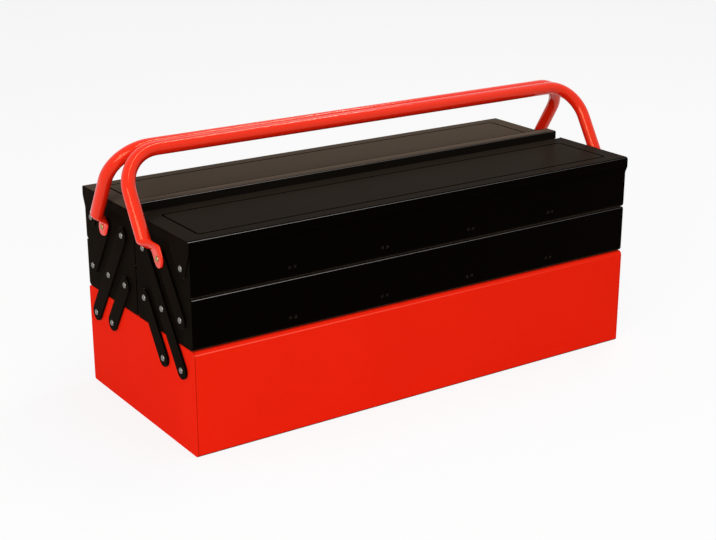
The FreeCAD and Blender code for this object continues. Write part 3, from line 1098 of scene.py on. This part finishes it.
def background_rays(tree):
    """Value that is 1 for rays that show the background: seen, mirrored or through glass."""
    path = node_at(tree, "ShaderNodeLightPath", -900, 200)
    value = path.outputs["Is Camera Ray"]
    for x, name in ((-650, "Is Glossy Ray"), (-400, "Is Transmission Ray")):
        either = node_at(tree, "ShaderNodeMath", x, 200, operation="MAXIMUM")
        tree.links.new(value, either.inputs[0])
        tree.links.new(path.outputs[name], either.inputs[1])
        value = either.outputs[0]
    return value


def mixed(tree, share, first, second, output):
    """Send two shaders, mixed by a share, to the surface of a material or a world."""
    mix = node_at(tree, "ShaderNodeMixShader", 300, 0)
    tree.links.new(share, mix.inputs[0])
    tree.links.new(first.outputs[0], mix.inputs[1])
    tree.links.new(second.outputs[0], mix.inputs[2])
    tree.links.new(mix.outputs[0], node_at(tree, output, 600, 0).inputs["Surface"])


class TOOLBOX_OT_stage(bpy.types.Operator):
    """Set the floor, the lamps, the sky and the camera"""

    bl_idname = "toolbox.stage"
    bl_label = "Stage"

    def execute(self, context):
        stage = settings().stage
        bpy.ops.object.select_all(action="DESELECT")
        bpy.ops.mesh.primitive_plane_add(size=24, location=(0, 0, 0))
        floor = context.object
        floor.name = "studio_floor"
        material = bpy.data.materials.new("pale_floor")
        material.use_nodes = True
        tree = material.node_tree
        tree.nodes.clear()
        matt = node_at(tree, "ShaderNodeBsdfDiffuse", 0, 0, Color=(*stage.floor_tone, 1))
        glow = node_at(tree, "ShaderNodeEmission", 0, -200, Strength=1)
        seen = node_at(tree, "ShaderNodeMath", 0, 200, operation="MULTIPLY")
        seen.inputs[1].default_value = stage.floor_glow
        tree.links.new(background_rays(tree), seen.inputs[0])
        mixed(tree, seen.outputs[0], matt, glow, "ShaderNodeOutputMaterial")
        floor.data.materials.append(material)

        world = bpy.data.worlds.new("studio_sky")
        context.scene.world = world
        world.use_nodes = True
        tree = world.node_tree
        tree.nodes.clear()
        even = node_at(
            tree, "ShaderNodeBackground", 0, 0, Color=(1, 1, 1, 1), Strength=stage.sky_level,
        )
        white = node_at(
            tree, "ShaderNodeBackground", 0, -200, Color=(1, 1, 1, 1), Strength=1,
        )
        mixed(tree, background_rays(tree), even, white, "ShaderNodeOutputWorld")

        softbox(
            "top_strip", place=(0.3, -0.3, 2.2), width=3.2, depth=0.2, power=stage.strip_power,
        )
        softbox(
            "camera_side_softbox", place=(-2.5, -1.8, 1.3), width=1.8, depth=1.8,
            power=stage.softbox_power,
        )

        data = bpy.data.cameras.new("photo_camera")
        data.lens = stage.lens
        data.sensor_width = 36
        data.clip_end = 60
        camera = bpy.data.objects.new("photo_camera", data)
        context.scene.collection.objects.link(camera)
        camera.location = stage.camera_place
        camera.rotation_euler = Vector(stage.camera_aim).to_track_quat("-Z", "Y").to_euler()
        context.scene.camera = camera
        context.scene.view_settings.view_transform = "Standard"
        return {"FINISHED"}


class TOOLBOX_PT_panel(bpy.types.Panel):
    """Buttons for the pieces of the tool box and its stage."""

    bl_label = "Tool Box"
    bl_idname = "TOOLBOX_PT_panel"
    bl_space_type = "VIEW_3D"
    bl_region_type = "UI"
    bl_category = "Tool Box"

    def draw(self, context):
        for operator in OPERATORS:
            self.layout.operator(operator.bl_idname)
        made = settings()
        for group in (made.paint, made.sheet, made.rivet, made.handle, made.stage):
            box = self.layout.box()
            for name in group.__annotations__:
                box.prop(group, name)


OPERATORS = (
    TOOLBOX_OT_base,
    TOOLBOX_OT_trays,
    TOOLBOX_OT_dimples,
    TOOLBOX_OT_lids,
    TOOLBOX_OT_arms,
    TOOLBOX_OT_rivets,
    TOOLBOX_OT_handles,
    TOOLBOX_OT_stage,
)
CLASSES = (
    ToolBoxPaint, ToolBoxSheet, ToolBoxRivet, ToolBoxHandle, ToolBoxStage, ToolBoxSettings,
    *OPERATORS, TOOLBOX_PT_panel,
)


def register():
    """Add the settings, operators and panel."""
    for one in CLASSES:
        bpy.utils.register_class(one)
    bpy.types.Scene.tool_box = PointerProperty(type=ToolBoxSettings)


def unregister():
    """Take the settings, operators and panel out again."""
    del bpy.types.Scene.tool_box
    for one in reversed(CLASSES):
        bpy.utils.unregister_class(one)


def main():
    """Make the whole scene."""
    register()
    for operator in OPERATORS:
        family, name = operator.bl_idname.split(".")
        getattr(getattr(bpy.ops, family), name)()


if __name__ == "__main__":
    main()
